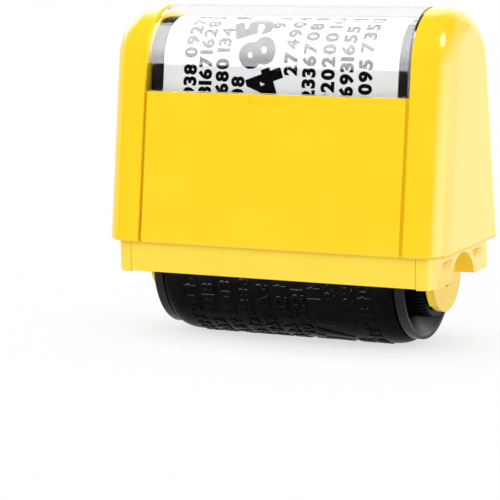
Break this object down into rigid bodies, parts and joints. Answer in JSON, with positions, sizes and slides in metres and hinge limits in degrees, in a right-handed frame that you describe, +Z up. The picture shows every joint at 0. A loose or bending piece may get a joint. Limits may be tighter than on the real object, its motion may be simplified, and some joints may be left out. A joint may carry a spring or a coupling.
{
  "type": "privacy roller stamp",
  "caption": "Self-inking roller stamp: a rubber roller turns in a carriage under a tapered, rounded housing with a clear label window on top.",
  "frame": {"origin": "on the floor under the middle of the roller, which is the bottom centre of the object's box", "axes": "+X along the roller's axle towards the right end, -Y towards the front panel, +Z up"},
  "size_m": [0.065, 0.03, 0.0589],
  "materials": {
    "yellow_plastic": "smooth satin-gloss moulding",
    "black_plastic": "satin",
    "stamp_rubber": "ink-black, slight sheen",
    "ink_felt": "ink-soaked felt",
    "bush_plastic": "natural acetal",
    "label_paper": "coated card, printed",
    "clear_plastic": "polished and clear",
    "screw_steel": "zinc-plated"
  },
  "bodies": {
    "carriage": {"carriage_frame": "yellow_plastic", "left_end_bracket": "yellow_plastic", "right_end_bracket": "yellow_plastic", "left_front_bracket_screw": "screw_steel", "left_rear_bracket_screw": "screw_steel", "right_front_bracket_screw": "screw_steel", "right_rear_bracket_screw": "screw_steel"},
    "roller": {"stamp_sleeve": "stamp_rubber", "ink_felt": "ink_felt", "roller_core": "black_plastic", "left_flange": "black_plastic", "right_flange": "black_plastic", "left_hub": "black_plastic", "right_hub": "black_plastic", "left_bush": "bush_plastic", "right_bush": "bush_plastic"},
    "housing": {"left_cheek": "yellow_plastic", "right_cheek": "yellow_plastic", "chassis": "yellow_plastic", "front_panel": "yellow_plastic", "rear_panel": "yellow_plastic", "left_front_cheek_screw": "screw_steel", "left_rear_cheek_screw": "screw_steel", "right_front_cheek_screw": "screw_steel", "right_rear_cheek_screw": "screw_steel", "label_saddle": "black_plastic", "index_label": "label_paper"},
    "cover": {"clear_cover": "clear_plastic"}
  },
  "joints": [
    {"name": "roller_spin", "type": "hinge", "parent": "carriage", "child": "roller", "pos_m": [0, 0, 0.0129], "axis": [1, 0, 0], "continuous": true},
    {"name": "housing_release", "type": "slide", "parent": "carriage", "child": "housing", "axis": [0, 0, 1], "range_m": [0, 0.016]},
    {"name": "cover_lift", "type": "slide", "parent": "housing", "child": "cover", "axis": [0, 0, 1], "range_m": [0, 0.016]}
  ]
}
